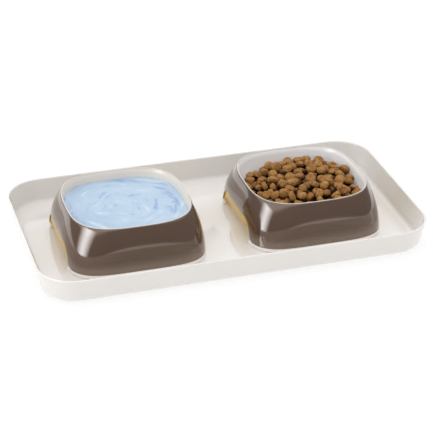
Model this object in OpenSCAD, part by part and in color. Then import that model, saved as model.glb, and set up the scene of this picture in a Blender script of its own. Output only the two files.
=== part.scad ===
// Double pet bowl: a shallow tray that holds two square bowls. All sizes are in millimetres.
// The tray stands on four rubber feet with its middle over the origin and +X along its length.
// Each bowl is a light dish and a light skirt joined by a darker cover, on four rubber feet.

/* [Tray] */
// Length of the tray over its rim
tray_length = 420; // [400:1:480]
// Width of the tray over its rim
tray_width = 230; // [200:1:300]
// Height of the rim above the tray's floor
tray_depth = 26.5; // [18:0.5:40]
// Thickness of the tray's wall and floor
tray_thickness = 2.2; // [1.6:0.1:3]
// Corner radius of the rim
tray_corner_radius = 40; // [30:1:50]
// Outward lean of the tray's wall in degrees
tray_lean = 11; // [6:1:16]
// Radius of the rounding outside, between wall and floor
tray_fillet = 9.2; // [6:0.1:12]
// Diameter of the moulding mark in the middle of the floor
gate_diameter = 5; // [3:0.5:8]
// Depth of the moulding mark
gate_depth = 0.3; // [0.1:0.1:0.6]

/* [Tray feet] */
// Diameter of a foot under the tray
tray_foot_diameter = 16; // [10:1:22]
// Height of a foot under the tray
tray_foot_height = 1.2; // [0.8:0.1:3]
// Distance of a foot's middle from the edges of the rim
tray_foot_inset = 38; // [32:1:50]
// Width of the ring that a foot is set in
foot_ring_width = 1; // [0.6:0.1:2]
// Height of the ring that a foot is set in
foot_ring_height = 0.5; // [0.3:0.1:0.7]

/* [Bowls] */
// Width of a bowl at its base
bowl_base_width = 151.6; // [144:0.2:164]
// Distance by which a bowl's side leans in, from its base to its lip
bowl_side_run = 10.6; // [8:0.2:14]
// Height of a bowl
bowl_height = 50.8; // [44:0.2:64]
// Share of the tray's spare length that lies between the bowls
middle_gap_share = 0.484; // [0.35:0.001:0.65]
// Height of the light band below the cover
band_height = 3.5; // [2:0.1:6]
// Thickness of the cover
cover_thickness = 1.2; // [1:0.1:2]
// Thickness of the skirt inside the cover
skirt_thickness = 1.5; // [1.2:0.1:2]
// Thickness of the dish
dish_thickness = 1.2; // [1:0.1:2]
// Thickness of the lip over the cover's top edge
lip_thickness = 0.9; // [0.6:0.1:2]
// Height of the dish's floor above the surface that the bowl stands on
dish_floor = 10.5; // [8:0.1:16]
// Width of the dish's flat floor
dish_floor_width = 68; // [50:1:80]

/* [Grips] */
// Width of the arch in the cover
arch_width = 94; // [80:1:106]
// Height of the arch in the cover above the tray's floor
arch_height = 24.2; // [20:0.2:30]
// Corner radius of an arch as a share of its height
arch_round_share = 0.78; // [0.4:0.01:0.9]
// Reveal of the skirt at the sides of the arch
arch_side_reveal = 1.4; // [1:0.1:6]
// Reveal of the skirt at the top of the arch
arch_top_reveal = 9; // [4:0.1:10]

/* [Bowl feet] */
// Diameter of a foot under a bowl, and of the boss that carries it
bowl_foot_diameter = 11; // [8:0.5:12]
// Height of a foot under a bowl
bowl_foot_height = 1; // [0.8:0.1:2]
// Gap between a foot and the skirt's corner
bowl_foot_gap = 5; // [3:0.1:8]
// Height of the boss that carries a foot
boss_height = 34; // [28:1:36]
// Diameter of the stem on a foot
stem_diameter = 5; // [4:0.1:6]
// Length of the stem on a foot
stem_length = 6; // [4:0.5:10]

/* [Hidden] */

// Colours
ivory = [0.90, 0.88, 0.84];
white = [0.93, 0.92, 0.89];
cream = [0.90, 0.82, 0.68];
taupe = [0.36, 0.30, 0.26];
rubber = [0.55, 0.53, 0.50];

// Clearances
fit_gap = 0.1;
seat_gap = 0.3;
overrun = 1;

// Steps of the curved surfaces
around = 64;
side_steps = 7;
dish_steps = 8;
arc_steps = 6;
turn_steps = 120;

// Heights of the tray
underside = tray_foot_height;
floor_top = underside + tray_thickness;
rim_top = floor_top + tray_depth;

// Tray wall: lean, middle of the rim's rounding, and centre of the fillets
rim_round = tray_thickness / 2;
rim_middle_height = rim_top - rim_round;
wall_foot = rim_round - (rim_round - (rim_middle_height - underside) * sin(tray_lean)) / cos(tray_lean);
fillet_in = wall_foot + tray_fillet * (1 - sin(tray_lean)) / cos(tray_lean);
fillet_height = underside + tray_fillet;

// Shape of a bowl: how square its lip and its base are, and how its side bulges
rim_squareness = 3.08;
base_squareness = 4.53;
side_bulge = 2.36;
dish_roundness = 2;

// Heights and widths of a bowl, from the surface that it stands on
base_half = bowl_base_width / 2;
rim_half = base_half - bowl_side_run;
skirt_rise_share = 0.8;
skirt_bottom = skirt_rise_share * bowl_foot_height;
cover_bottom = skirt_bottom + band_height;
cover_top = bowl_height - lip_thickness - fit_gap;
skirt_outer_inset = cover_thickness + fit_gap;
skirt_inner_inset = skirt_outer_inset + skirt_thickness;
lip_round = lip_thickness / 3;
side_levels = [
    for (j = [0 : side_steps])
        cover_bottom + (cover_top - cover_bottom) * j / side_steps
];

// The skirt ends where its inner face would come too near to the dish
skirt_top_share = pow(1 - (skirt_thickness + seat_gap) / bowl_side_run, 1 / side_bulge);
skirt_top = cover_bottom + (bowl_height - cover_bottom) * skirt_top_share;

// The dish passes down inside the cover's top edge
dish_depth = bowl_height - dish_floor;
dish_top_half = rim_half - cover_thickness - fit_gap - dish_thickness;

// Middles of the bowls along the tray, and of the feet in a bowl's corners
spare_length = tray_length - 2 * fillet_in - 2 * bowl_base_width;
bowl_spacing = bowl_base_width + middle_gap_share * spare_length;
skirt_corner = (base_half - skirt_inner_inset) * pow(2, -1 / base_squareness);
bowl_foot_reach = skirt_corner - (bowl_foot_diameter / 2 + bowl_foot_gap) / sqrt(2);

// Grip arches: the skirt's arch is smaller than the cover's by the reveal
skirt_arch_width = arch_width - 2 * arch_side_reveal;
skirt_arch_height = arch_height - arch_top_reveal;
arch_depth = base_half - bowl_foot_reach - bowl_foot_diameter / 2;

function side_share(h) = max(0, min(1, (h - cover_bottom) / (bowl_height - cover_bottom)));

// Half width of the bowl's outside at height h, and how square it is there
function body_half(h) = base_half + (rim_half - base_half) * pow(side_share(h), side_bulge);
function body_squareness(h) = base_squareness + (rim_squareness - base_squareness) * side_share(h);

// Half width of the dish's inside at a share k of its depth, counted from its floor
function dish_half(k) = let (flat = dish_floor_width / 2)
    flat + (dish_top_half - flat) * pow(1 - pow(1 - k, dish_roundness), 1 / dish_roundness);
function dish_share(h) = max(0, min(1, (h - dish_floor) / dish_depth));

// One closed ring of points, round-cornered and square, at height h
function ring(half, squareness, h) = [
    for (i = [0 : around - 1])
        let (c = cos(360 * i / around), s = sin(360 * i / around))
            [
                half * sign(c) * pow(abs(c), 2 / squareness),
                half * sign(s) * pow(abs(s), 2 / squareness),
                h
            ]
];

function body_ring(inset, h) = ring(body_half(h) - inset, body_squareness(h), h);

// Two triangles for each step between neighbouring rings; flip turns them over
function wall_faces(count, closed, flip) = [
    for (k = [0 : count - (closed ? 1 : 2)], i = [0 : around - 1])
        let (
            next = (k + 1) % count,
            turn = (i + 1) % around,
            a = k * around + i,
            b = k * around + turn,
            c = next * around + turn,
            d = next * around + i
        )
            each (flip ? [[a, b, c], [a, c, d]] : [[a, d, c], [a, c, b]])
];

module closed_band(rings) {
    polyhedron(points = [for (r = rings) each r], faces = wall_faces(len(rings), true, false));
}

module capped_skin(rings, flip) {
    last = (len(rings) - 1) * around;
    first_cap = [for (i = [0 : around - 1]) i];
    last_cap = [for (i = [0 : around - 1]) last + around - 1 - i];
    caps = flip
        ? [[for (i = [0 : around - 1]) around - 1 - i], [for (i = [0 : around - 1]) last + i]]
        : [first_cap, last_cap];
    polyhedron(
        points = [for (r = rings) each r],
        faces = concat(wall_faces(len(rings), false, flip), caps)
    );
}

// Points of an arc about a centre
function arc(centre, radius, from, to) = [
    for (i = [0 : arc_steps])
        let (a = from + (to - from) * i / arc_steps)
            centre + radius * [cos(a), sin(a)]
];

// Section of the tray's wall: the first number is the distance in from the rim's outline
function tray_section(reach) = concat(
    [[reach, underside]],
    arc([fillet_in, fillet_height], tray_fillet, 270, 180 + tray_lean),
    arc([rim_round, rim_middle_height], rim_round, 180 + tray_lean, tray_lean),
    arc([fillet_in, fillet_height], tray_fillet - tray_thickness, 180 + tray_lean, 270),
    [[reach, floor_top]]
);

// Straight stretch of wall along X, outer face towards -Y, from the rim inwards
module straight_wall(run) {
    rotate([90, 0, 90])
        linear_extrude(height = run, center = true)
            polygon(tray_section(tray_corner_radius));
}

module corner_wall() {
    rotate_extrude(angle = 90, $fn = turn_steps)
        polygon([for (p = tray_section(tray_corner_radius)) [tray_corner_radius - p.x, p.y]]);
}

module tray_shell() {
    straight_x = tray_length - 2 * tray_corner_radius;
    straight_y = tray_width - 2 * tray_corner_radius;
    translate([-straight_x / 2, -straight_y / 2, underside])
        cube([straight_x, straight_y, tray_thickness]);
    for (side = [0, 1]) {
        rotate(180 * side) {
            translate([0, -tray_width / 2, 0])
                straight_wall(straight_x);
            translate([tray_length / 2, 0, 0])
                rotate(90)
                    straight_wall(straight_y);
            translate([straight_x / 2, straight_y / 2, 0])
                corner_wall();
            translate([straight_x / 2, -straight_y / 2, 0])
                rotate(-90)
                    corner_wall();
        }
    }
}

module at_tray_foot(x_side, y_side) {
    translate([
        x_side * (tray_length / 2 - tray_foot_inset),
        y_side * (tray_width / 2 - tray_foot_inset),
        0
    ])
        children();
}

module foot_ring() {
    translate([0, 0, underside - foot_ring_height])
        difference() {
            cylinder(
                h = foot_ring_height,
                d = tray_foot_diameter + 2 * (fit_gap + foot_ring_width),
                $fn = around
            );
            translate([0, 0, -overrun])
                cylinder(
                    h = foot_ring_height + 2 * overrun,
                    d = tray_foot_diameter + 2 * fit_gap,
                    $fn = around
                );
        }
}

module tray() {
    color(ivory)
        difference() {
            union() {
                tray_shell();
                for (x_side = [-1, 1], y_side = [-1, 1])
                    at_tray_foot(x_side, y_side)
                        foot_ring();
            }
            translate([0, 0, floor_top - gate_depth])
                cylinder(h = gate_depth + overrun, d = gate_diameter, $fn = around);
        }
}

module tray_foot(x_side, y_side) {
    color(rubber)
        at_tray_foot(x_side, y_side)
            cylinder(h = tray_foot_height, d = tray_foot_diameter, $fn = around);
}

// Upright plate in the form of a grip arch, through the bowl's side towards +X or -X
module arch_cut(x_side, width, height) {
    radius = arch_round_share * height;
    depth = arch_depth + overrun;
    reach = base_half + overrun;
    translate([x_side * (reach - depth / 2), 0, 0])
        rotate([90, 0, 90])
            linear_extrude(height = depth, center = true)
                union() {
                    translate([-width / 2, -overrun])
                        square([width, height - radius + overrun]);
                    translate([radius - width / 2, -overrun])
                        square([width - 2 * radius, height + overrun]);
                    for (y_side = [-1, 1])
                        translate([y_side * (width / 2 - radius), height - radius])
                            circle(r = radius, $fn = around);
                }
}

module cover() {
    color(taupe)
        difference() {
            closed_band(concat(
                [for (h = side_levels) body_ring(0, h)],
                [for (j = [side_steps : -1 : 0]) body_ring(cover_thickness, side_levels[j])]
            ));
            for (x_side = [-1, 1])
                arch_cut(x_side, arch_width, arch_height);
        }
}

// The dish: up its inside, over the lip, and down its outside
module dish() {
    under_floor = dish_floor - dish_thickness;
    dish_top = bowl_height - lip_round;
    lip_bottom = bowl_height - lip_thickness;
    color(white)
        capped_skin(concat(
            [
                for (j = [0 : dish_steps])
                    let (h = dish_floor + (dish_top - dish_floor) * pow(j / dish_steps, dish_roundness))
                        ring(dish_half(dish_share(h)), rim_squareness, h)
            ],
            [ring(dish_top_half + lip_round, rim_squareness, bowl_height)],
            [body_ring(lip_round, bowl_height)],
            [body_ring(0, dish_top)],
            [ring(rim_half, rim_squareness, lip_bottom)],
            [
                for (j = [dish_steps : -1 : 0])
                    let (h = under_floor + (lip_bottom - under_floor) * pow(j / dish_steps, dish_roundness))
                        ring(
                            dish_half(dish_share(h + dish_thickness)) + dish_thickness,
                            rim_squareness,
                            h
                        )
            ]
        ), true);
}

// The skirt's wall: up its outside, with the band that shows below the cover, and down its inside
module skirt_wall() {
    levels = [for (h = side_levels) if (h < skirt_top) h];
    steps = len(levels) - 1;
    closed_band(concat(
        [ring(base_half - lip_round, base_squareness, skirt_bottom)],
        [ring(base_half, base_squareness, skirt_bottom + lip_round)],
        [ring(base_half, base_squareness, cover_bottom - fit_gap)],
        [ring(base_half - skirt_outer_inset, base_squareness, cover_bottom - fit_gap)],
        [for (h = levels) body_ring(skirt_outer_inset, h)],
        [body_ring(skirt_outer_inset + fit_gap, skirt_top)],
        [body_ring(skirt_inner_inset, skirt_top)],
        [for (j = [steps : -1 : 0]) body_ring(skirt_inner_inset, levels[j])],
        [ring(base_half - skirt_inner_inset, base_squareness, skirt_bottom)]
    ));
}

module at_bowl_feet() {
    for (x_side = [-1, 1], y_side = [-1, 1])
        translate([x_side * bowl_foot_reach, y_side * bowl_foot_reach, 0])
            children();
}

// Bosses for the feet, in the corners under the lip; they run into the skirt
module bosses() {
    skirt_middle = skirt_outer_inset + skirt_thickness / 2;
    intersection() {
        at_bowl_feet()
            translate([0, 0, bowl_foot_height])
                cylinder(h = boss_height, d = bowl_foot_diameter, $fn = around);
        capped_skin([
            for (j = [0 : side_steps])
                let (h = side_levels[j])
                    ring(body_half(h) - skirt_middle, body_squareness(h), j == 0 ? 0 : h)
        ], false);
    }
}

module skirt() {
    color(cream)
        difference() {
            union() {
                skirt_wall();
                bosses();
            }
            for (x_side = [-1, 1])
                arch_cut(x_side, skirt_arch_width, skirt_arch_height);
            at_bowl_feet()
                cylinder(
                    h = bowl_foot_height + stem_length + overrun,
                    d = stem_diameter + 2 * fit_gap,
                    $fn = around
                );
        }
}

module bowl_foot(x_side, y_side) {
    color(rubber)
        translate([x_side * bowl_foot_reach, y_side * bowl_foot_reach, 0]) {
            cylinder(h = bowl_foot_height, d = bowl_foot_diameter, $fn = around);
            cylinder(h = bowl_foot_height + stem_length, d = stem_diameter, $fn = around);
        }
}

// Puts a bowl's piece in its place on the tray's floor
module on_tray(bowl_side) {
    translate([bowl_side * bowl_spacing / 2, 0, floor_top])
        children();
}

module tray_foot_front_left() {
    tray_foot(-1, -1);
}

module tray_foot_front_right() {
    tray_foot(1, -1);
}

module tray_foot_back_left() {
    tray_foot(-1, 1);
}

module tray_foot_back_right() {
    tray_foot(1, 1);
}

module left_bowl_dish() {
    on_tray(-1)
        dish();
}

module left_bowl_skirt() {
    on_tray(-1)
        skirt();
}

module left_bowl_cover() {
    on_tray(-1)
        cover();
}

module left_bowl_foot_front_left() {
    on_tray(-1)
        bowl_foot(-1, -1);
}

module left_bowl_foot_front_right() {
    on_tray(-1)
        bowl_foot(1, -1);
}

module left_bowl_foot_back_left() {
    on_tray(-1)
        bowl_foot(-1, 1);
}

module left_bowl_foot_back_right() {
    on_tray(-1)
        bowl_foot(1, 1);
}

module right_bowl_dish() {
    on_tray(1)
        dish();
}

module right_bowl_skirt() {
    on_tray(1)
        skirt();
}

module right_bowl_cover() {
    on_tray(1)
        cover();
}

module right_bowl_foot_front_left() {
    on_tray(1)
        bowl_foot(-1, -1);
}

module right_bowl_foot_front_right() {
    on_tray(1)
        bowl_foot(1, -1);
}

module right_bowl_foot_back_left() {
    on_tray(1)
        bowl_foot(-1, 1);
}

module right_bowl_foot_back_right() {
    on_tray(1)
        bowl_foot(1, 1);
}

tray();
tray_foot_front_left();
tray_foot_front_right();
tray_foot_back_left();
tray_foot_back_right();
left_bowl_dish();
left_bowl_skirt();
left_bowl_cover();
left_bowl_foot_front_left();
left_bowl_foot_front_right();
left_bowl_foot_back_left();
left_bowl_foot_back_right();
right_bowl_dish();
right_bowl_skirt();
right_bowl_cover();
right_bowl_foot_front_left();
right_bowl_foot_front_right();
right_bowl_foot_back_left();
right_bowl_foot_back_right();
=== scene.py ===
# Looks of the double pet bowl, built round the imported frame.
# Sizes are in millimetres, as in the CAD source, and become metres where a mesh is made.
import math
import random

import bpy
import numpy as np
from mathutils import Euler, Matrix, Vector, noise


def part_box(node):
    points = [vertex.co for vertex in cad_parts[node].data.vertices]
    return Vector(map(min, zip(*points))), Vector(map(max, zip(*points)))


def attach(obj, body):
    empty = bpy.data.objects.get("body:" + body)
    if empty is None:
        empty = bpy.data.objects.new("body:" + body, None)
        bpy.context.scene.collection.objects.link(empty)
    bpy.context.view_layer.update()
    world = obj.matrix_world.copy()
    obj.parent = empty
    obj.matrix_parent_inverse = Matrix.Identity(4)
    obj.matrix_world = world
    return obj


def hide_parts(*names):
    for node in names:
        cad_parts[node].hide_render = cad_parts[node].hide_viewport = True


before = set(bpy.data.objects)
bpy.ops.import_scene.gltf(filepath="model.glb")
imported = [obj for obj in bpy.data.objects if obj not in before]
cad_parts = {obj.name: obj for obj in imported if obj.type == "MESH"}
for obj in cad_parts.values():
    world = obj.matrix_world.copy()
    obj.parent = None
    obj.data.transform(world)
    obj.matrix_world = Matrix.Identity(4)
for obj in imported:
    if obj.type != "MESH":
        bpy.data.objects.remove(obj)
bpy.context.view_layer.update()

MM = 0.001

# Sizes, as in the CAD source

TRAY_LENGTH, TRAY_WIDTH, TRAY_DEPTH, TRAY_WALL = 420, 230, 26.5, 2.2
TRAY_CORNER, TRAY_LEAN, TRAY_FILLET = 40, math.radians(11), 9.2
GATE_RADIUS, GATE_DEPTH = 2.5, 0.3
TRAY_FOOT_RADIUS, TRAY_FOOT_HEIGHT, TRAY_FOOT_INSET = 8, 1.2, 38
FOOT_RING_WIDTH, FOOT_RING_HEIGHT = 1, 0.5

BOWL_SPACING, BOWL_HEIGHT = 195.6, 50.8
BASE_HALF, RIM_HALF = 75.8, 65.2
BASE_SQUARE, RIM_SQUARE, SIDE_BULGE = 4.53, 3.08, 2.36
COVER_WALL, SKIRT_WALL, DISH_WALL, FIT_GAP = 1.2, 1.5, 1.2, 0.1
SKIRT_BOTTOM, COVER_BOTTOM = 0.8, 4.3
DISH_FLOOR, DISH_FLAT_HALF = 10.5, 34
ARCH_WIDTH, ARCH_HEIGHT, ARCH_ROUND_SHARE = 94, 24.2, 0.78
ARCH_SIDE_REVEAL, ARCH_TOP_REVEAL = 1.4, 9
BOWL_FOOT_RADIUS, BOWL_FOOT_GAP, BOSS_BOTTOM, BOSS_TOP = 5.5, 5, 1, 35

# Edges, roundings and overlaps that only the visible meshes have

GATE_ROUND, GATE_ROUND_DROP, GATE_SLOPE = 0.3, 0.08, 0.25
FOOT_RING_ROOT, FOOT_RING_CHAMFER = 0.2, 0.15
LIP_EDGE, LIP_OUTER_ROUND, LIP_INNER_ROUND, LIP_UNDER_ROUND = 0.5, 0.25, 0.35, 0.12
LIP_FLARE, LIP_FLARE_HEIGHT = 1.45, 6
COVER_EDGE_ROUND, COVER_TOE = 0.35, 8
SKIRT_EDGE_ROUND, SKIRT_TOE = 0.3, 1.2
BAND_OVERLAP, BAND_LOW_ROUND, BAND_HIGH_ROUND = 0.2, 0.4, 0.15
BOSS_CHAMFER = 0.25

# Heights and places that follow from the sizes

UNDERSIDE = TRAY_FOOT_HEIGHT
FLOOR_TOP = UNDERSIDE + TRAY_WALL
RIM_TOP = FLOOR_TOP + TRAY_DEPTH
COVER_TOP = BOWL_HEIGHT - LIP_EDGE - FIT_GAP
SKIRT_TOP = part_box("left_bowl_skirt")[1][2] / MM - FLOOR_TOP
DISH_TOP_HALF = RIM_HALF - COVER_WALL - FIT_GAP - DISH_WALL
SKIRT_INSET = COVER_WALL + FIT_GAP
BOWL_FOOT_REACH = ((BASE_HALF - SKIRT_INSET - SKIRT_WALL) * 2 ** (-1 / BASE_SQUARE)
                   - (BOWL_FOOT_RADIUS + BOWL_FOOT_GAP) / math.sqrt(2))
BOWLS = {"left": -BOWL_SPACING / 2, "right": BOWL_SPACING / 2}


def arch_size(width, height):
    """Width, height and corner radius of a grip arch."""
    return width, height, ARCH_ROUND_SHARE * height


COVER_ARCH = arch_size(ARCH_WIDTH, ARCH_HEIGHT)
SKIRT_ARCH = arch_size(ARCH_WIDTH - 2 * ARCH_SIDE_REVEAL, ARCH_HEIGHT - ARCH_TOP_REVEAL)


# Mesh helpers

def add_mesh(name, points, faces, body, smooth_angle=35):
    """A smooth-shaded mesh object from points in mm, riding on a body."""
    mesh = bpy.data.meshes.new(name)
    mesh.from_pydata([(x * MM, y * MM, z * MM) for x, y, z in points], [], faces)
    mesh.validate()
    mesh.shade_smooth()
    mesh.set_sharp_from_angle(angle=math.radians(smooth_angle))
    obj = bpy.data.objects.new(name, mesh)
    bpy.context.scene.collection.objects.link(obj)
    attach(obj, body)
    return obj


def strips(loops, closed=False, cap_first=False, cap_last=False, start=0):
    """Quads between equal loops of points; the loops run one after the other from index start."""
    count = len(loops[0])
    faces = []
    last = len(loops) if closed else len(loops) - 1
    for k in range(last):
        a, b = start + k * count, start + (k + 1) % len(loops) * count
        for i in range(count):
            j = (i + 1) % count
            faces.append((a + i, a + j, b + j, b + i))
    if cap_first:
        faces.append(tuple(range(start + count - 1, start - 1, -1)))
    if cap_last:
        end = start + (len(loops) - 1) * count
        faces.append(tuple(range(end, end + count)))
    return faces


class Shells:
    """Collects several closed surfaces into the points and faces of one mesh."""

    def __init__(self):
        self.points, self.faces = [], []

    def add(self, loops, **options):
        self.faces += strips(loops, start=len(self.points), **options)
        for loop in loops:
            self.points += loop


def arc(centre, radius, first, last, steps):
    """Points of an arc, its angles in degrees."""
    return [
        (centre[0] + radius * math.cos(math.radians(first + (last - first) * i / steps)),
         centre[1] + radius * math.sin(math.radians(first + (last - first) * i / steps)))
        for i in range(steps + 1)
    ]


def circle(centre, radius, count, height):
    """Closed loop of count points round a centre."""
    return [(x, y, height) for x, y in arc(centre, radius, 0, 360 * (count - 1) / count, count - 1)]


def along_line(a, b, shares):
    """Points between a and b, at shares of the way."""
    return [(a[0] + (b[0] - a[0]) * share, a[1] + (b[1] - a[1]) * share) for share in shares]


def four_corners(x, y):
    """The four places at x and y with either sign."""
    return [(sign_x * x, sign_y * y) for sign_x in (-1, 1) for sign_y in (-1, 1)]


# Tray

CORNER_STEPS, STRAIGHT_STEPS = 28, 10
TRAY_FILLET_STEPS, TRAY_RIM_STEPS, FOOT_RING_STEPS = 14, 12, 64
# Shares of the way along the tray's wall where it has loops, closest together at its ends
WALL_LOOP_SHARES = (0.03, 0.1, 0.35, 0.65, 0.9, 0.97)
# Width of a ring of flat floor inside the fillet, which keeps the shading of the floor flat
FLAT_MARGIN = 1.5


def tray_loop(inset, height):
    """Rounded rectangle at an inset from the rim's outline, counter-clockwise."""
    radius = TRAY_CORNER - inset
    corner_x, corner_y = TRAY_LENGTH / 2 - TRAY_CORNER, TRAY_WIDTH / 2 - TRAY_CORNER
    corners = [(corner_x, corner_y, 0), (-corner_x, corner_y, 90),
               (-corner_x, -corner_y, 180), (corner_x, -corner_y, 270)]
    shares = [i / STRAIGHT_STEPS for i in range(1, STRAIGHT_STEPS)]
    points = []
    for k, (x, y, turn) in enumerate(corners):
        quarter = arc((x, y), radius, turn, turn + 90, CORNER_STEPS)
        next_x, next_y, next_turn = corners[(k + 1) % len(corners)]
        after = arc((next_x, next_y), radius, next_turn, next_turn, 1)[0]
        points += quarter + along_line(quarter[-1], after, shares)
    return [(x, y, height) for x, y in points]


def tray_section():
    """(inset, height) from the underside over the rim to the floor."""
    lean = math.degrees(TRAY_LEAN)
    rim = TRAY_WALL / 2
    rim_middle = RIM_TOP - rim
    foot = rim - (rim - (rim_middle - UNDERSIDE) * math.sin(TRAY_LEAN)) / math.cos(TRAY_LEAN)
    fillet_in = foot + TRAY_FILLET * (1 - math.sin(TRAY_LEAN)) / math.cos(TRAY_LEAN)
    centre = (fillet_in, UNDERSIDE + TRAY_FILLET)
    outer = arc(centre, TRAY_FILLET, 270, 180 + lean, TRAY_FILLET_STEPS)
    top = arc((rim, rim_middle), rim, 180 + lean, lean, TRAY_RIM_STEPS)
    inner = arc(centre, TRAY_FILLET - TRAY_WALL, 180 + lean, 270, TRAY_FILLET_STEPS)
    return (outer + along_line(outer[-1], top[0], WALL_LOOP_SHARES)
            + top + along_line(top[-1], inner[0], WALL_LOOP_SHARES) + inner)


def gate_mark(outline):
    """Loops of the moulding mark, with as many points as the outline of the floor round it."""
    turns = [math.atan2(y, x) for x, y, _ in outline]
    rings = ((GATE_RADIUS + GATE_ROUND, 0), (GATE_RADIUS, GATE_ROUND_DROP),
             (GATE_RADIUS - GATE_SLOPE, GATE_DEPTH))
    return [
        [(radius * math.cos(t), radius * math.sin(t), FLOOR_TOP - drop) for t in turns]
        for radius, drop in rings
    ]


def foot_ring(centre):
    """Loops of the ring under the tray that a foot sits in."""
    inside = TRAY_FOOT_RADIUS + FIT_GAP
    outside = inside + FOOT_RING_WIDTH
    low, root = UNDERSIDE - FOOT_RING_HEIGHT, UNDERSIDE + FOOT_RING_ROOT
    section = [(outside, root), (outside, low + FOOT_RING_CHAMFER), (outside - FOOT_RING_CHAMFER, low),
               (inside + FOOT_RING_CHAMFER, low), (inside, low + FOOT_RING_CHAMFER), (inside, root)]
    return [circle(centre, radius, FOOT_RING_STEPS, z) for radius, z in reversed(section)]


def make_tray():
    section = tray_section()
    flat = section[-1][0] + FLAT_MARGIN
    loops = [tray_loop(flat, UNDERSIDE)]
    loops += [tray_loop(inset, z) for inset, z in section]
    loops.append(tray_loop(flat, FLOOR_TOP))
    loops += gate_mark(loops[-1])
    shells = Shells()
    shells.add(loops, cap_first=True, cap_last=True)
    for centre in four_corners(TRAY_LENGTH / 2 - TRAY_FOOT_INSET, TRAY_WIDTH / 2 - TRAY_FOOT_INSET):
        shells.add(foot_ring(centre), closed=True)
    obj = add_mesh("tray_moulding", shells.points, shells.faces, "tray")
    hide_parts("tray")
    return obj


# Bowls. A height h is above the tray's floor.

# Points in a loop round the dish or the water
AROUND = 256


def side_share(h):
    """Share of the cover's height at h, from its lower edge to the lip."""
    return min(1, max(0, (h - COVER_BOTTOM) / (BOWL_HEIGHT - COVER_BOTTOM)))


def body_half(h):
    """Half width of the bowl's outside."""
    return BASE_HALF + (RIM_HALF - BASE_HALF) * side_share(h) ** SIDE_BULGE


def body_square(h):
    """Power of the rounded square that is the bowl's outside at h."""
    return BASE_SQUARE + (RIM_SQUARE - BASE_SQUARE) * side_share(h)


def dish_half(h):
    """Half width of the dish's inside."""
    share = min(1, max(0, (h - DISH_FLOOR) / (BOWL_HEIGHT - DISH_FLOOR)))
    return DISH_FLAT_HALF + (DISH_TOP_HALF - DISH_FLAT_HALF) * math.sqrt(1 - (1 - share) ** 2)


def ring(half, square, h):
    """Closed loop of a rounded square."""
    points = []
    for i in range(AROUND):
        turn = 2 * math.pi * i / AROUND
        c, s = math.cos(turn), math.sin(turn)
        points.append((math.copysign(half * abs(c) ** (2 / square), c),
                       math.copysign(half * abs(s) ** (2 / square), s), h))
    return points


def on_tray(loops, x0):
    """The loops of a bowl's piece at the bowl's place on the tray."""
    return [[(x + x0, y, z + FLOOR_TOP) for x, y, z in loop] for loop in loops]


# Dish

DISH_STEPS, FLARE_STEPS, LIP_STEPS = 40, 10, 5
# Powers that crowd the loops of the inside and of the underside towards the dish's floor
INSIDE_CROWDING, UNDERSIDE_CROWDING = 1.6, 2


def dish_section():
    """(half width, height) from the dish's floor over the lip to its underside."""
    inner_top, outer_top = BOWL_HEIGHT - LIP_INNER_ROUND, BOWL_HEIGHT - LIP_OUTER_ROUND
    flare_bottom = BOWL_HEIGHT - LIP_FLARE_HEIGHT
    heights = [DISH_FLOOR + (flare_bottom - DISH_FLOOR) * (j / DISH_STEPS) ** INSIDE_CROWDING
               for j in range(DISH_STEPS)]
    heights += [flare_bottom + (inner_top - flare_bottom) * j / FLARE_STEPS for j in range(FLARE_STEPS + 1)]
    section = []
    for h in heights:
        flare = LIP_FLARE * max(0, (h - flare_bottom) / (inner_top - flare_bottom)) ** 2
        section.append((dish_half(h) + flare, h))
    lip_inside = DISH_TOP_HALF + LIP_FLARE + LIP_INNER_ROUND
    section += arc((lip_inside, inner_top), LIP_INNER_ROUND, 180, 90, LIP_STEPS)[1:]
    section += arc((RIM_HALF - LIP_OUTER_ROUND, outer_top), LIP_OUTER_ROUND, 90, 0, LIP_STEPS)
    low = BOWL_HEIGHT - LIP_EDGE
    section += [(RIM_HALF, low + LIP_UNDER_ROUND), (RIM_HALF - LIP_UNDER_ROUND, low)]
    under = DISH_FLOOR - DISH_WALL
    for j in range(DISH_STEPS, -1, -1):
        h = under + (low - under) * (j / DISH_STEPS) ** UNDERSIDE_CROWDING
        section.append((dish_half(h + DISH_WALL) + DISH_WALL, h))
    return section


def make_dish(side, x0):
    loops = [ring(half, RIM_SQUARE, h) for half, h in reversed(dish_section())]
    shells = Shells()
    shells.add(on_tray(loops, x0), cap_first=True, cap_last=True)
    obj = add_mesh(side + "_bowl_inner", shells.points, shells.faces, side + "_bowl")
    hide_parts(side + "_bowl_dish")
    return obj


# Walls with grip arches, which the cover and the skirt share

ARCH_STRAIGHT_STEPS, ARCH_TOE_STEPS, ARCH_LEG_STEPS, ARCH_CURVE_STEPS, ARCH_CROWN_STEPS = 14, 10, 5, 22, 16
WALL_ROWS, EDGE_STEPS, PLAIN_SIDE_STEPS = 26, 4, 80
# Power that leaves the inner points straight behind the outer ones until close to a corner
CORNER_POWER = 8


def wall_point(quarter, w, h, inset):
    """Point of the bowl's side. w runs from -1 to 1 between the middles of two corners."""
    full = body_half(h)
    square = body_square(h)
    half = full - inset
    corner = half * 2 ** (-1 / square)
    ratio = full / half
    along = w * (1 + (ratio - 1) * (1 - abs(w) ** CORNER_POWER)) * corner
    out = half * (1 - (abs(along) / half) ** square) ** (1 / square)
    x, y = out, along
    for _ in range(quarter):
        x, y = -y, x
    return x, y, h


def corner_reach(h):
    """Distance from the middle of a side to the middle of a corner, along the side."""
    return body_half(h) * 2 ** (-1 / body_square(h))


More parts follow.
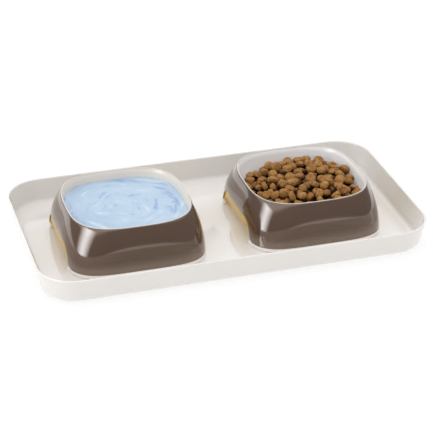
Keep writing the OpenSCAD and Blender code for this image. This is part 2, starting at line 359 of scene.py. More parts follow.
def arch_edge(arch, bottom, toe):
    """Lower edge of a side with an arch: ((y, h), (ny, nh)) from -Y to +Y, with its inward normals.

    A rounded toe joins the straight edge to the leg, or to the curve where the leg is too short for it.
    """
    width, height, radius = arch
    half = width / 2
    reach = corner_reach(bottom)
    rise = height - radius
    middle = -half + radius
    toe_up = max(0, bottom + toe - rise)
    meeting = math.asin(toe_up / (radius + toe))
    toe_middle = middle - (radius + toe) * math.cos(meeting)
    turned = math.degrees(meeting)
    edge = []
    for i in range(ARCH_STRAIGHT_STEPS):
        edge.append(((-reach + (toe_middle + reach) * i / ARCH_STRAIGHT_STEPS, bottom), (0, 1)))
    for y, h in arc((toe_middle, bottom + toe), toe, 270, 360 - turned, ARCH_TOE_STEPS):
        edge.append(((y, h), ((toe_middle - y) / toe, (bottom + toe - h) / toe)))
    curve = arc((middle, rise), radius, 180 - turned, 90, ARCH_CURVE_STEPS)
    if toe_up:
        curve = curve[1:]
    else:
        for i in range(1, ARCH_LEG_STEPS):
            edge.append(((-half, (bottom + toe) + (rise - bottom - toe) * i / ARCH_LEG_STEPS), (-1, 0)))
    for y, h in curve:
        edge.append(((y, h), ((y - middle) / radius, (h - rise) / radius)))
    crown = width - 2 * radius
    for i in range(1, ARCH_CROWN_STEPS):
        edge.append(((-crown / 2 * (1 - i / ARCH_CROWN_STEPS), height), (0, 1)))
    edge.append(((0, height), (0, 1)))
    mirrored = [((-y, h), (-ny, nh)) for (y, h), (ny, nh) in reversed(edge[:-1])]
    return edge + mirrored


def wall_columns(bottom, arch, toe):
    """Points round the lower edge: (quarter, y, h, normal, place along the top edge from -1 to 1)."""
    columns = []
    for quarter in range(4):
        if quarter % 2 == 0:
            edge = arch_edge(arch, bottom, toe)
            lengths = [0]
            for k in range(1, len(edge)):
                lengths.append(lengths[-1] + math.dist(edge[k][0], edge[k - 1][0]))
            for k, ((y, h), normal) in enumerate(edge):
                columns.append((quarter, y, h, normal, -1 + 2 * lengths[k] / lengths[-1]))
        else:
            reach = corner_reach(bottom)
            for k in range(1, PLAIN_SIDE_STEPS):
                w = -1 + 2 * k / PLAIN_SIDE_STEPS
                columns.append((quarter, w * reach, bottom, (0, 1), w))
    return columns


def arched_wall(outer, inner, bottom, top, arch, toe, rounding):
    """Loops of the closed wall between two insets, with an arch in its left and right sides."""
    angles = [math.pi / 2 * i / EDGE_STEPS for i in range(EDGE_STEPS + 1)]
    turn = [(rounding * (1 - math.sin(a)), outer + rounding * (1 - math.cos(a))) for a in angles]
    back = [(depth, inner - (inset - outer)) for depth, inset in reversed(turn)]
    columns = wall_columns(bottom, arch, toe)
    upper = top - rounding
    shares = [k / WALL_ROWS for k in range(1, WALL_ROWS + 1)]

    def on_edge(column, depth, inset):
        """Point on the rounded lower edge, at a depth in from it."""
        quarter, y, h, (ny, nh), _ = column
        y, h = y + ny * depth, h + nh * depth
        return wall_point(quarter, y / corner_reach(h), h, inset)

    def on_side(column, share, inset):
        """Point at a share of the way from the lower edge to the upper one."""
        quarter, y, h, (ny, nh), w_top = column
        y, h = y + ny * rounding, h + nh * rounding
        w = y / corner_reach(h)
        return wall_point(quarter, w + (w_top - w) * share, h + (upper - h) * share, inset)

    def on_top(column, depth, inset):
        """Point on the rounded upper edge, at a depth below it."""
        quarter, _, _, _, w_top = column
        return wall_point(quarter, w_top, top - depth, inset)

    loops = [[on_side(column, share, outer) for column in columns] for share in reversed(shares)]
    loops += [[on_edge(column, depth, inset) for column in columns] for depth, inset in turn + back]
    loops += [[on_side(column, share, inner) for column in columns] for share in shares]
    over = list(reversed(back)) + list(reversed(turn))
    loops += [[on_top(column, depth, inset) for column in columns] for depth, inset in over[1:-1]]
    return loops


# Cover

def make_cover(side, x0):
    loops = arched_wall(0, COVER_WALL, COVER_BOTTOM, COVER_TOP, COVER_ARCH, COVER_TOE, COVER_EDGE_ROUND)
    shells = Shells()
    shells.add(on_tray(loops, x0), closed=True)
    obj = add_mesh(side + "_bowl_shell", shells.points, shells.faces, side + "_bowl")
    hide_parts(side + "_bowl_cover")
    return obj


# Skirt, with the band that shows below the cover and the bosses for the feet

BAND_LOW_STEPS, BAND_HIGH_STEPS, BAND_END_STEPS, BAND_FRONT_STEPS = 4, 3, 41, 100
# Rounded ends of the band: share of the section, and shift along the side in mm
BAND_ENDS = ((0.7, 0.0), (0.86, 0.08), (0.95, 0.2))
BOSS_STEPS, BOSS_AROUND = 24, 48


def band_loops(sign):
    """The band below the cover, from the left arch to the right one, on one side of the bowl."""
    inner = SKIRT_INSET + BAND_OVERLAP
    low, high = SKIRT_BOTTOM, COVER_BOTTOM - FIT_GAP
    profile = (arc((BAND_LOW_ROUND, low + BAND_LOW_ROUND), BAND_LOW_ROUND, 180, 270, BAND_LOW_STEPS)
               + [(inner, low), (inner, high)]
               + arc((BAND_HIGH_ROUND, high - BAND_HIGH_ROUND), BAND_HIGH_ROUND, 90, 180, BAND_HIGH_STEPS))
    middle = (inner / 2, (low + high) / 2)
    start = SKIRT_ARCH[0] / 2 / corner_reach(low)
    stations = [(0, start + (1 - start) * i / BAND_END_STEPS) for i in range(BAND_END_STEPS)]
    stations += [(1, -1 + 2 * i / BAND_FRONT_STEPS) for i in range(BAND_FRONT_STEPS + 1)]
    stations += [(2, -1 + (1 - start) * i / BAND_END_STEPS) for i in range(1, BAND_END_STEPS + 1)]
    loops = []
    for k, (quarter, w) in enumerate(stations):
        squeezes = [(1, 0)]
        if k == 0:
            squeezes = [(share, shift / BASE_HALF) for share, shift in BAND_ENDS]
        elif k == len(stations) - 1:
            squeezes = [(share, -shift / BASE_HALF) for share, shift in reversed(BAND_ENDS)]
        for share, shift in squeezes:
            loops.append([
                wall_point(quarter, w + shift, middle[1] + (h - middle[1]) * share,
                           middle[0] + (inset - middle[0]) * share)
                for inset, h in profile
            ])
    if sign < 0:
        loops = [[(-x, -y, z) for x, y, z in loop] for loop in loops]
    return loops


def boss_loops(centre):
    """A boss for a foot, kept inside the skirt."""
    limit_inset = SKIRT_INSET + SKIRT_WALL / 2
    straight = BOSS_TOP - BOSS_BOTTOM - BOSS_CHAMFER
    heights = [BOSS_BOTTOM] + [
        BOSS_BOTTOM + BOSS_CHAMFER + straight * k / BOSS_STEPS for k in range(BOSS_STEPS + 1)]
    loops = []
    for h in heights:
        radius = BOWL_FOOT_RADIUS - (BOSS_CHAMFER if h == BOSS_BOTTOM else 0)
        square, half = body_square(h), body_half(h) - limit_inset
        loop = []
        for x, y, _ in circle(centre, radius, BOSS_AROUND, h):
            size = ((abs(x) / half) ** square + (abs(y) / half) ** square) ** (1 / square)
            shrink = 1 / max(1, size)
            loop.append((x * shrink, y * shrink, h))
        loops.append(loop)
    return loops


def make_skirt(side, x0):
    shells = Shells()
    wall = arched_wall(SKIRT_INSET, SKIRT_INSET + SKIRT_WALL, SKIRT_BOTTOM, SKIRT_TOP,
                       SKIRT_ARCH, SKIRT_TOE, SKIRT_EDGE_ROUND)
    shells.add(on_tray(wall, x0), closed=True)
    for sign in (1, -1):
        shells.add(on_tray(band_loops(sign), x0), cap_first=True, cap_last=True)
    for centre in four_corners(BOWL_FOOT_REACH, BOWL_FOOT_REACH):
        shells.add(on_tray(boss_loops(centre), x0), cap_first=True, cap_last=True)
    obj = add_mesh(side + "_bowl_base", shells.points, shells.faces, side + "_bowl")
    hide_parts(side + "_bowl_skirt")
    return obj


# Water in the left bowl

WATER_LEVEL, WATER_GAP = 40.5, 0.1
MENISCUS_HEIGHT, MENISCUS_WIDTH = 0.6, 1.1
WATER_RINGS, WATER_ROWS = 34, 24
# The stirred surface: a wandering spiral with ripples over it, calm beside the wall
SWIRL_HEIGHT, SWIRL_PITCH, SWIRL_WANDER, SWIRL_WANDER_SCALE = 0.16, 0.42, 3.5, 0.03
RIPPLE_HEIGHT, RIPPLE_SCALE, RIPPLE_PLACE = 0.22, 0.075, Vector((7, 3, 0))
CALM_WIDTH = 6


def water_surface(x, y, size, half):
    """Height of the water at a place on the ring of a size, in a dish of a half width."""
    place = Vector((x, y, 0))
    wander = SWIRL_WANDER * noise.noise(place * SWIRL_WANDER_SCALE)
    swirl = math.sin(size * SWIRL_PITCH + wander + math.atan2(y, x))
    ripple = SWIRL_HEIGHT * swirl + RIPPLE_HEIGHT * noise.noise(place * RIPPLE_SCALE + RIPPLE_PLACE)
    calm = min(1, (half - size) / CALM_WIDTH)
    climb = MENISCUS_HEIGHT * math.exp(-(half - size) / MENISCUS_WIDTH)
    return WATER_LEVEL + ripple * calm + climb


def make_water(x0):
    """A closed body that fills the dish, with a stirred surface that climbs a little at the wall."""
    loops = []
    for j in range(WATER_ROWS + 1):
        h = DISH_FLOOR + WATER_GAP + (WATER_LEVEL - DISH_FLOOR) * (j / WATER_ROWS) ** 2
        loops.append(ring(dish_half(h) - WATER_GAP, RIM_SQUARE, h))
    half = dish_half(WATER_LEVEL) - WATER_GAP
    for j in range(WATER_RINGS):
        size = half * (1 - j / WATER_RINGS)
        loops.append([(x, y, water_surface(x, y, size, half)) for x, y, _ in ring(size, RIM_SQUARE, 0)])
    shells = Shells()
    shells.add(on_tray(loops, x0), cap_first=True, cap_last=True)
    return add_mesh("water", shells.points, shells.faces, "left_bowl", smooth_angle=60)


# Dry food in the right bowl: pellets dropped one by one into the lowest free spot

PELLET_RADIUS, PELLET_HALF_HEIGHT, PELLET_SPHERE = 5.6, 3.25, 4.75
PELLET_AROUND, PELLET_ROWS, PELLET_EDGE_POWER = 20, 12, 0.52
# Ranges from which each pellet draws its size, height and oval, and its tilt in degrees
PELLET_SIZES, PELLET_HEIGHTS, PELLET_OVALS = (0.88, 1.1), (0.85, 1.15), (0.88, 1.0)
PELLET_TILTS, PELLET_TILT_SPREAD = (10, 25, 40, 60, 80), 9
# Noise that dents and roughens the pellets, each from a place of its own within a reach
DENT_SHARE, DENT_SCALE = 0.08, 0.16
GRIT_SHARE, GRIT_SCALE = 0.05, 0.5
NOISE_REACH = 90
# The heap is a dome; it is full when a number of tries in a row find no spot below its surface
HEAP_LEVEL, HEAP_DOME, HEAP_MIDDLE, HEAP_ROUGHNESS = 36, 10, (12, 8), 1.5
HEAP_SEED, HEAP_TRIES, HEAP_MISSES = 23, 160, 4
# Where a sphere is tried against the dish: shares of its radius, and turns round it
TOUCH_SHARES, TOUCH_TURNS = (0.5, 0.85, 0.98), 10
OUT_OF_REACH = 10 * BOWL_HEIGHT


def dish_height(x, y):
    """Height of the dish's inner surface, for arrays of places; out of reach outside the dish."""
    size = (np.abs(x) ** RIM_SQUARE + np.abs(y) ** RIM_SQUARE) ** (1 / RIM_SQUARE)
    share = np.clip((size - DISH_FLAT_HALF) / (DISH_TOP_HALF - DISH_FLAT_HALF), 0, 1)
    wall = DISH_FLOOR + (BOWL_HEIGHT - DISH_FLOOR) * (1 - np.sqrt(1 - share ** 2))
    return np.where(size < DISH_TOP_HALF, wall, OUT_OF_REACH)


def rest_on_dish(x, y, radius):
    """Lowest height of a sphere's centre over the dish."""
    height = dish_height(x, y) + radius
    for share in TOUCH_SHARES:
        for k in range(TOUCH_TURNS):
            turn = 2 * math.pi * k / TOUCH_TURNS
            reach = radius * share
            under = math.sqrt(radius ** 2 - reach ** 2)
            beside = dish_height(x + reach * math.cos(turn), y + reach * math.sin(turn)) + under
            height = np.maximum(height, beside)
    return height


def heap_surface(x, y):
    """Height of the heap's dome, for arrays of places."""
    far = np.hypot(x - HEAP_MIDDLE[0], y - HEAP_MIDDLE[1]) / DISH_TOP_HALF
    return HEAP_LEVEL + HEAP_DOME * (1 - far ** 2)


def heap_centres():
    """Centres of the pellets, taken as spheres, filled up to the heap's surface."""
    draw = np.random.RandomState(HEAP_SEED)
    placed = np.zeros((0, 3))
    misses = 0
    while misses < HEAP_MISSES:
        x, y = draw.uniform(-DISH_TOP_HALF, DISH_TOP_HALF, (2, HEAP_TRIES))
        z = rest_on_dish(x, y, PELLET_SPHERE)
        if len(placed):
            apart = (x[:, None] - placed[:, 0]) ** 2 + (y[:, None] - placed[:, 1]) ** 2
            lift = np.sqrt(np.maximum(0, (2 * PELLET_SPHERE) ** 2 - apart))
            z = np.maximum(z, np.where(lift > 0, placed[:, 2] + lift, 0).max(axis=1))
        surface = heap_surface(x, y) + draw.uniform(-1, 1, HEAP_TRIES) * HEAP_ROUGHNESS
        best = np.argmin(z - surface)
        if z[best] < surface[best]:
            placed = np.vstack([placed, (x[best], y[best], z[best])])
            misses = 0
        else:
            misses += 1
    return placed


def pellet(centre, draw):
    """Loops of one pressed pellet, a pillow-edged disc with noisy dents, kept inside the dish."""
    radius = PELLET_RADIUS * draw.uniform(*PELLET_SIZES)
    half_height = PELLET_HALF_HEIGHT * draw.uniform(*PELLET_HEIGHTS)
    oval = draw.uniform(*PELLET_OVALS)
    tilt = math.radians(draw.choice(PELLET_TILTS) + draw.uniform(-PELLET_TILT_SPREAD, PELLET_TILT_SPREAD))
    spin = Euler((tilt, 0, draw.uniform(0, 2 * math.pi)), "XYZ").to_matrix()
    spin = Matrix.Rotation(draw.uniform(0, 2 * math.pi), 3, "Z") @ spin
    own = Vector([draw.uniform(-NOISE_REACH, NOISE_REACH) for _ in range(3)])
    loops = []
    for i in range(1, PELLET_ROWS):
        angle = math.pi * i / PELLET_ROWS
        out = radius * math.sin(angle) ** PELLET_EDGE_POWER
        up = half_height * math.copysign(abs(math.cos(angle)) ** PELLET_EDGE_POWER, math.cos(angle))
        loop = []
        for j in range(PELLET_AROUND):
            turn = 2 * math.pi * j / PELLET_AROUND
            point = Vector((out * math.cos(turn), out * oval * math.sin(turn), up))
            dent = DENT_SHARE * noise.noise(point * DENT_SCALE + own)
            grit = GRIT_SHARE * noise.noise(point * GRIT_SCALE + own)
            x, y, h = spin @ (point * (1 + dent + grit)) + Vector(centre)
            limit = dish_half(h) - WATER_GAP
            reach = (abs(x) ** RIM_SQUARE + abs(y) ** RIM_SQUARE) ** (1 / RIM_SQUARE)
            inside = min(1, limit / reach)
            loop.append((x * inside, y * inside, max(h, DISH_FLOOR + WATER_GAP)))
        loops.append(loop)
    loops.reverse()
    return loops


def make_kibble(x0):
    draw = random.Random(HEAP_SEED)
    shells = Shells()
    for centre in heap_centres():
        shells.add(on_tray(pellet(centre, draw), x0), cap_first=True, cap_last=True)
    return add_mesh("kibble", shells.points, shells.faces, "right_bowl", smooth_angle=80)


# Materials

def linear(*colour):
    """sRGB values from 0 to 255 as a linear colour."""
    return tuple(
        (c / 255 / 12.92 if c <= 10 else ((c / 255 + 0.055) / 1.055) ** 2.4) for c in colour
    ) + (1.0,)


def grey(value):
    return (value, value, value, 1.0)


# Colour sockets of the mix node, whose names its other sockets have too
MIX_FIRST, MIX_SECOND, MIX_RESULT = 6, 7, 2
# Values of a noise between which two tones blend
BLEND_FROM, BLEND_TO = 0.3, 0.7


class Nodes:
    """A node tree and short ways to add nodes to it."""

    def __init__(self, tree):
        self.tree = tree

    def node(self, kind, links=None, **values):
        made = self.tree.nodes.new(kind)
        for name, value in values.items():
            if hasattr(made, name):
                setattr(made, name, value)
            else:
                made.inputs[name.replace("_", " ")].default_value = value
        for name, source in (links or {}).items():
            self.tree.links.new(source, made.inputs[name])
        return made

    def ramp(self, source, *stops):
        """Colours at places from 0 to 1 of the source."""
        made = self.node("ShaderNodeValToRGB", {"Fac": source})
        elements = made.color_ramp.elements
        while len(elements) < len(stops):
            elements.new(0.5)
        for element, (position, colour) in zip(elements, stops):
            element.position, element.color = position, colour
        return made.outputs["Color"]

    def tones(self, source, low, high):
        """Two colours blended over the middle of a noise."""
        return self.ramp(source, (BLEND_FROM, low), (BLEND_TO, high))

    def math(self, operation, a, b=None, clamp=False):
        made = self.node("ShaderNodeMath", operation=operation, use_clamp=clamp)
        for k, value in enumerate((a, b)):
            if isinstance(value, (int, float)):
                made.inputs[k].default_value = value
            elif value is not None:
                self.tree.links.new(value, made.inputs[k])
        return made.outputs["Value"]

    def split(self, vector):
        return self.node("ShaderNodeSeparateXYZ", {"Vector": vector}).outputs

    def spread(self, source, low, high):
        """A 0 to 1 value stretched to low..high."""
        return self.math("ADD", self.math("MULTIPLY", source, high - low), low)

    def rise(self, source, start, over):
        """0 up to the start, then rising to 1 over a distance; both are in mm, the source in metres."""
        return self.math("MULTIPLY", self.math("SUBTRACT", source, start * MM), 1 / (over * MM), clamp=True)


class Material(Nodes):
    """A node material with a Principled shader."""

    def __init__(self, name, **values):
        self.material = bpy.data.materials.new(name)
        self.material.use_nodes = True
        super().__init__(self.material.node_tree)
        self.shader = self.tree.nodes["Principled BSDF"]
        for socket, value in values.items():
            self.shader.inputs[socket.replace("_", " ")].default_value = value

    def place(self, middle=(0, 0, 0)):
        """Object coordinates in metres, from a middle."""
        coordinates = self.node("ShaderNodeTexCoord").outputs["Object"]
        moved = self.node("ShaderNodeVectorMath", {0: coordinates}, operation="SUBTRACT")
        moved.inputs[1].default_value = middle
        return moved.outputs["Vector"]

    def noise(self, scale, detail=2, roughness=0.5, vector=None):
        return self.node(
            "ShaderNodeTexNoise", {"Vector": vector or self.place()},
            Scale=scale, Detail=detail, Roughness=roughness,
        ).outputs["Fac"]

    def mix(self, factor, a, b):
        made = self.node("ShaderNodeMix", data_type="RGBA")
        self.tree.links.new(factor, made.inputs["Factor"])
        for socket, value in ((MIX_FIRST, a), (MIX_SECOND, b)):
            if isinstance(value, tuple):
                made.inputs[socket].default_value = value
            else:
                self.tree.links.new(value, made.inputs[socket])
        return made.outputs[MIX_RESULT]

    def colour(self, source):
        self.tree.links.new(source, self.shader.inputs["Base Color"])

    def glow(self, source):
        self.tree.links.new(source, self.shader.inputs["Emission Color"])

    def roughness(self, source):
        self.tree.links.new(source, self.shader.inputs["Roughness"])

    def bump(self, source, distance, after=None):
        """Bump of a real depth in metres; bumps can follow one another."""
        links = {"Height": source}
        if after is not None:
            links["Normal"] = after
        made = self.node("ShaderNodeBump", links, Distance=distance, Strength=1.0)
        self.tree.links.new(made.outputs["Normal"], self.shader.inputs["Normal"])
        return made.outputs["Normal"]


def moulded(material, tones, rough, wave=0.00006, grain=0.000006):
    """What every moulding here has: faint clouds of tone, a slow wave of the surface and a fine grain."""
    clouds = material.tones(material.noise(scale=14, detail=3), *tones)
    material.colour(clouds)
    material.roughness(material.spread(material.noise(scale=60, detail=4), *rough))
    first = material.bump(material.noise(scale=22, detail=1), distance=wave)
    material.bump(material.noise(scale=2600, detail=2), distance=grain, after=first)
    return clouds


def tray_material():
    m = Material("tray_ivory", Specular_IOR_Level=0.3, Coat_Weight=0.9, Coat_Roughness=0.01,
                 Subsurface_Weight=0.35, Subsurface_Radius=(1.0, 0.96, 0.9), Subsurface_Scale=0.006)
    moulded(m, tones=(linear(226, 222, 218), linear(229, 225, 221)), rough=(0.1, 0.16),
            wave=0.00003, grain=0.000002)
    return m.material


# The left dish is warmer, which evens out the blue light of the water
DISH_TONES = {
    "left": (linear(229, 221, 211), linear(232, 224, 214)),
    "right": (linear(242, 244, 246), linear(244, 246, 248)),
}
# Painted shade: the top of the lip is painted darker and warmer than the dish, which dims the light it
# catches
SHADED_LIP_TONE = linear(214, 206, 198)


def dish_material(side):
    m = Material("dish_" + side, Specular_IOR_Level=0.4, Coat_Weight=0.12, Coat_Roughness=0.05)
    white = moulded(m, tones=DISH_TONES[side], rough=(0.2, 0.3))
    height = m.split(m.place())["Z"]
    # Painted shade on the lip's top
    on_lip = m.rise(height, FLOOR_TOP + BOWL_HEIGHT - 2 * LIP_EDGE, LIP_EDGE)
    m.colour(m.mix(on_lip, white, SHADED_LIP_TONE))
    return m.material


# Painted glow on the skirt, which is no lamp: light from the pale table that shines through the translucent
# skirt, in its cream and its amber part
CREAM_GLOW, AMBER_GLOW = linear(124, 120, 118), linear(159, 126, 42)
# Height above the band over which cream turns to amber
AMBER_FADE = 2


def skirt_material():
    """Cream on the band. Above it, where the wall shows in the grip arches, a dark amber that glows:
    painted shade under the cover and painted light through the translucent plastic.
    """
    m = Material("skirt_cream", Specular_IOR_Level=0.5, Coat_Weight=0.2, Coat_Roughness=0.08,
                 Subsurface_Weight=0.4, Subsurface_Radius=(1.0, 0.85, 0.6), Subsurface_Scale=0.005,
                 Emission_Strength=1.0)
    cream = moulded(m, tones=(linear(214, 208, 203), linear(218, 212, 207)), rough=(0.22, 0.32))
    amber = m.tones(m.noise(scale=40, detail=3), linear(64, 46, 14), linear(72, 54, 20))
    height = m.split(m.place())["Z"]
    above = m.rise(height, FLOOR_TOP + COVER_BOTTOM, AMBER_FADE)
    # Painted shade and painted glow above the band: a dark amber colour with an amber emission
    m.colour(m.mix(above, cream, amber))
    m.glow(m.mix(above, CREAM_GLOW, AMBER_GLOW))
    return m.material


# Painted light: the cover's foot is painted paler where the skirt and the tray shine through; heights above
# its lower edge
LIT_FOOT_HEIGHT, LIT_FOOT_FADE = 4.5, 4.5
LIT_FOOT_TONE = linear(107, 88, 73)


def cover_material():
    m = Material("cover_taupe", Specular_IOR_Level=1.0, Specular_Tint=(1.0, 0.88, 0.74, 1.0),
                 Coat_Weight=1.0, Coat_Roughness=0.03)
    taupe = moulded(m, tones=(linear(82, 61, 49), linear(87, 66, 54)), rough=(0.1, 0.16),
                    wave=0.00001, grain=0.000003)
    height = m.split(m.place())["Z"]
    above = m.rise(height, FLOOR_TOP + COVER_BOTTOM + LIT_FOOT_HEIGHT, LIT_FOOT_FADE)
    # Painted light: the foot is painted paler than the taupe above it
    m.colour(m.mix(above, LIT_FOOT_TONE, taupe))
    return m.material


def rubber_material():
    """Pale and translucent, so that the feet don't show through the tray's floor."""
    m = Material("foot_grey_rubber", Specular_IOR_Level=0.4,
                 Subsurface_Weight=1.0, Subsurface_Radius=(1.0, 1.0, 1.0), Subsurface_Scale=0.01)
    m.colour(m.tones(m.noise(scale=180, detail=4), linear(206, 203, 198), linear(214, 211, 206)))
    m.roughness(m.spread(m.noise(scale=900, detail=3), 0.6, 0.8))
    m.bump(m.noise(scale=1500, detail=3), distance=0.00004)
    return m.material


# The water's strokes, painted light and shade of its ripples: how far they wander, in metres, how wide the
# calm eye is, and how close they lie
WATER_WANDER, WATER_EYE, WATER_CLOSENESS = 0.03, 0.018, 62


def water_material(x0):
    """Pale blue with stirred strokes that run round the bowl, painted light and shade of its ripples."""
    m = Material("water_blue", Specular_IOR_Level=0.35, IOR=1.33)
    place = m.place(middle=(x0 * MM, 0, 0))
    wander = m.node("ShaderNodeTexNoise", {"Vector": place}, Scale=26, Detail=1).outputs["Color"]
    wander = m.node("ShaderNodeVectorMath", {0: wander}, operation="SUBTRACT")
    wander.inputs[1].default_value = (0.5, 0.5, 0.5)
    shifted = m.node("ShaderNodeVectorMath", {0: wander.outputs["Vector"], 2: place},
                     operation="MULTIPLY_ADD")
    shifted.inputs[1].default_value = (WATER_WANDER, WATER_WANDER, 0)
    x, y, _ = m.split(shifted.outputs["Vector"])
    squared = m.math("ADD", m.math("MULTIPLY", x, x), m.math("MULTIPLY", y, y))
    far = m.math("ADD", m.math("SQRT", squared), WATER_EYE)
    around = m.node("ShaderNodeCombineXYZ", {
        "X": m.math("DIVIDE", x, far), "Y": m.math("DIVIDE", y, far),
        "Z": m.math("MULTIPLY", far, WATER_CLOSENESS)})
    strokes = m.noise(scale=2.2, detail=3, roughness=0.55, vector=around.outputs["Vector"])
    drift = m.tones(m.noise(scale=28, detail=2), linear(170, 191, 214), linear(181, 201, 219))
    # Painted shade and painted highlight of the ripples: dark and light strokes
    dark = m.ramp(strokes, (0.28, grey(1)), (0.44, grey(0)))
    light = m.ramp(strokes, (0.56, grey(0)), (0.72, grey(1)))
    ripple_shaded = m.mix(dark, drift, linear(136, 160, 200))
    m.colour(m.mix(light, ripple_shaded, linear(200, 216, 229)))
    m.roughness(m.spread(m.noise(scale=50, detail=2), 0.06, 0.12))
    m.bump(strokes, distance=0.0003)
    return m.material


# Painted shade in the heap's hollows: depth below the heap's dome from which pellets are painted darker,
# over how much more, and how strongly
HOLLOW_SHADE_FROM, HOLLOW_SHADE_OVER, HOLLOW_SHADE_SHARE = 1.2, 5.0, 0.92


def heap_depth(m, x0):
    """Depth below the heap's dome, in metres."""
    middle = ((x0 + HEAP_MIDDLE[0]) * MM, HEAP_MIDDLE[1] * MM, FLOOR_TOP * MM)
    x, y, height = m.split(m.place(middle=middle))
    squared = m.math("ADD", m.math("MULTIPLY", x, x), m.math("MULTIPLY", y, y))
    dome = m.math("MULTIPLY", squared, -HEAP_DOME / DISH_TOP_HALF ** 2 / MM)
    surface = m.math("ADD", dome, (HEAP_LEVEL + HEAP_DOME) * MM)
    return m.math("SUBTRACT", surface, height)


def kibble_material(x0):
    """Baked brown meal with crumbs and pores, and painted shade that darkens the pellets deep in the heap's
    hollows.
    """
    m = Material("kibble_brown", Specular_IOR_Level=0.25)
    own = m.node("ShaderNodeNewGeometry").outputs["Random Per Island"]
    baked = m.ramp(own, (0.0, linear(126, 78, 28)), (0.5, linear(152, 103, 42)),
                   (1.0, linear(172, 124, 60)))
    tint = m.tones(m.noise(scale=120, detail=3, roughness=0.6), grey(0), grey(1))
    patches = m.mix(tint, m.mix(tint, baked, linear(126, 78, 26)), linear(190, 142, 82))
    crumbs = m.noise(scale=620, detail=4, roughness=0.65)
    speckled = m.mix(m.ramp(crumbs, (0.36, grey(0.75)), (0.52, grey(0))), patches, linear(70, 34, 8))
    # Painted shade: pellets deep below the dome are painted darker
    hollow_shade = m.rise(heap_depth(m, x0), HOLLOW_SHADE_FROM, HOLLOW_SHADE_OVER)
    m.colour(m.mix(m.math("MULTIPLY", hollow_shade, HOLLOW_SHADE_SHARE), speckled, linear(40, 13, 2)))
    m.roughness(m.spread(m.noise(scale=300, detail=3), 0.5, 0.75))
    first = m.bump(m.noise(scale=190, detail=3, roughness=0.6), distance=0.0009)
    m.bump(crumbs, distance=0.00035, after=first)
    return m.material


def dress(obj, material):
    obj.data.materials.clear()
    obj.data.materials.append(material)


# Floor, a pale table in metres, lit a little from below as a product table is

FLOOR_HALF, TABLE_GLOW = 6, 0.76


def floor_material():
    m = Material("floor_white", Roughness=0.9, Specular_IOR_Level=0.0,
                 Emission_Color=grey(1.0), Emission_Strength=TABLE_GLOW)
    m.colour(m.tones(m.noise(scale=3, detail=2), grey(0.23), grey(0.25)))
    return m.material


def make_floor():
    corners = [(-FLOOR_HALF, -FLOOR_HALF, 0), (FLOOR_HALF, -FLOOR_HALF, 0),
               (FLOOR_HALF, FLOOR_HALF, 0), (-FLOOR_HALF, FLOOR_HALF, 0)]
    mesh = bpy.data.meshes.new("floor")
    mesh.from_pydata(corners, [], [(0, 1, 2, 3)])
    floor = bpy.data.objects.new("floor", mesh)
    bpy.context.scene.collection.objects.link(floor)
    return floor


# World. Diffuse light comes from a plain white sky. The gloss mirrors a studio in its place: dark
# walls below a bright ceiling that leans to the back. Camera and transmission rays see plain white.

SKY_HORIZON, SKY_STRENGTH = 0.22, 1.53
WALL_SHARE, WALL_TOP, CEILING_BOTTOM = 0.18, 0.4, 0.5
CEILING_STRENGTH, CEILING_LEAN = 1.2, math.radians(10)


def make_world():
    world = bpy.data.worlds.new("studio")
    bpy.context.scene.world = world
    world.use_nodes = True
    links, nodes = world.node_tree.links, world.node_tree.nodes
    sky = Nodes(world.node_tree)
    _, to_back, upward = sky.split(sky.node("ShaderNodeTexCoord").outputs["Generated"])
    plain = nodes["Background"]
    dome = sky.ramp(upward, (0.0, grey(SKY_HORIZON)), (1.0, grey(1.0)))
    links.new(dome, plain.inputs["Color"])
    plain.inputs["Strength"].default_value = SKY_STRENGTH
    leaning = sky.math("ADD", sky.math("MULTIPLY", upward, math.cos(CEILING_LEAN)),
                       sky.math("MULTIPLY", to_back, math.sin(CEILING_LEAN)))
    studio = sky.ramp(leaning, (WALL_TOP, grey(WALL_SHARE)), (CEILING_BOTTOM, grey(1.0)))
    mirrored = sky.node("ShaderNodeBackground", {"Color": studio}, Strength=CEILING_STRENGTH)
    white = sky.node("ShaderNodeBackground", Color=grey(1.0), Strength=1.0)
    ray = sky.node("ShaderNodeLightPath").outputs
    lit = sky.node("ShaderNodeMixShader", {
        "Fac": ray["Is Glossy Ray"], 1: plain.outputs["Background"], 2: mirrored.outputs["Background"]})
    seen = sky.math("MAXIMUM", ray["Is Camera Ray"], ray["Is Transmission Ray"])
    chosen = sky.node("ShaderNodeMixShader", {
        "Fac": seen, 1: lit.outputs["Shader"], 2: white.outputs["Background"]})
    links.new(chosen.outputs["Shader"], nodes["World Output"].inputs["Surface"])


# Lamps, in metres and watts: one only in the gloss, and a weak one only in the diffuse light

SOFTBOX_SIDE_FADE, SOFTBOX_END_FADE = 0.42, 0.06
LAMP_AIM = Vector((0, 0, 0.03))


def direction(azimuth, elevation, distance):
    """Place seen from the middle of the set; azimuth 0 is in front, 90 to the right."""
    a, e = math.radians(azimuth), math.radians(elevation)
    return Vector((math.sin(a) * math.cos(e), -math.cos(a) * math.cos(e), math.sin(e))) * distance


def soften_edges(lamp):
    """Makes a lamp fade out towards its sides and, over less of it, its ends."""
    lamp.use_nodes = True
    cloth = Nodes(lamp.node_tree)
    across, along, _ = cloth.split(cloth.node("ShaderNodeNewGeometry").outputs["Parametric"])
    fades = []
    for place, softness in ((across, SOFTBOX_SIDE_FADE), (along, SOFTBOX_END_FADE)):
        from_middle = cloth.math("ABSOLUTE", cloth.math("SUBTRACT", place, 0.5))
        to_edge = cloth.math("SUBTRACT", 0.5, from_middle)
        fades.append(cloth.math("MULTIPLY", to_edge, 1 / softness, clamp=True))
    glow = lamp.node_tree.nodes["Emission"]
    lamp.node_tree.links.new(cloth.math("MULTIPLY", *fades), glow.inputs["Strength"])


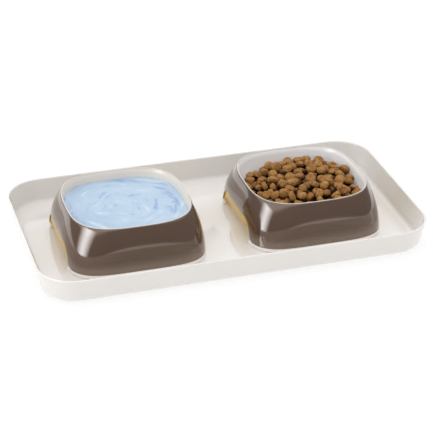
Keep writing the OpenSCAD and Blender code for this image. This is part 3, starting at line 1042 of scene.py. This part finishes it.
def add_softbox(name, place, width, height, power, colour, in_gloss):
    """A lamp that faces the set: one in the gloss, with soft edges, or one in the diffuse light."""
    lamp = bpy.data.lights.new(name, "AREA")
    lamp.shape, lamp.size, lamp.size_y, lamp.energy = "RECTANGLE", width, height, power
    lamp.color = colour
    obj = bpy.data.objects.new(name, lamp)
    bpy.context.scene.collection.objects.link(obj)
    obj.location = place
    obj.rotation_euler = (LAMP_AIM - place).to_track_quat("-Z", "Y").to_euler()
    obj.visible_diffuse, obj.visible_glossy = not in_gloss, in_gloss
    if in_gloss:
        soften_edges(lamp)


# Camera, fitted to the photograph's outlines: its place in mm, its angles in degrees

FOCAL_PIXELS, IMAGE_PIXELS, SENSOR = 1581.2, 433, 36
AZIMUTH, ELEVATION, ROLL = -17.14, 28.6, 0.47
CAMERA_PLACE = Vector((-438.8, -1430.3, 831.9))
CLIP_START, CLIP_END = 0.05, 30


def make_camera():
    back = direction(AZIMUTH, ELEVATION, 1)
    level = direction(AZIMUTH + 90, 0, 1)
    lift = back.cross(level)
    roll = math.radians(ROLL)
    right = level * math.cos(roll) + lift * math.sin(roll)
    up = lift * math.cos(roll) - level * math.sin(roll)
    lens = bpy.data.cameras.new("camera")
    lens.sensor_width = SENSOR
    lens.lens = FOCAL_PIXELS / IMAGE_PIXELS * SENSOR
    lens.clip_start, lens.clip_end = CLIP_START, CLIP_END
    camera = bpy.data.objects.new("camera", lens)
    bpy.context.scene.collection.objects.link(camera)
    camera.matrix_world = (Matrix.Translation(CAMERA_PLACE * MM)
                           @ Matrix((right, up, back)).transposed().to_4x4())
    bpy.context.scene.camera = camera


# Building

dress(make_tray(), tray_material())
skirt_look, cover_look, rubber_look = skirt_material(), cover_material(), rubber_material()
for side, x0 in BOWLS.items():
    dress(make_dish(side, x0), dish_material(side))
    dress(make_skirt(side, x0), skirt_look)
    dress(make_cover(side, x0), cover_look)
for name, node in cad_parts.items():
    if "foot" in name:
        dress(node, rubber_look)
dress(make_water(BOWLS["left"]), water_material(BOWLS["left"]))
dress(make_kibble(BOWLS["right"]), kibble_material(BOWLS["right"]))

dress(make_floor(), floor_material())
make_world()
add_softbox("softbox_left", direction(-73, 19.5, 1.3), width=1.08, height=0.86, power=17.5,
            colour=(0.9, 0.95, 1.04), in_gloss=True)
add_softbox("fill_left", direction(-80, 17, 1.6), width=1.0, height=0.6, power=5.2,
            colour=(1.0, 1.0, 1.0), in_gloss=False)
make_camera()
bpy.context.scene.view_settings.view_transform = "Standard"
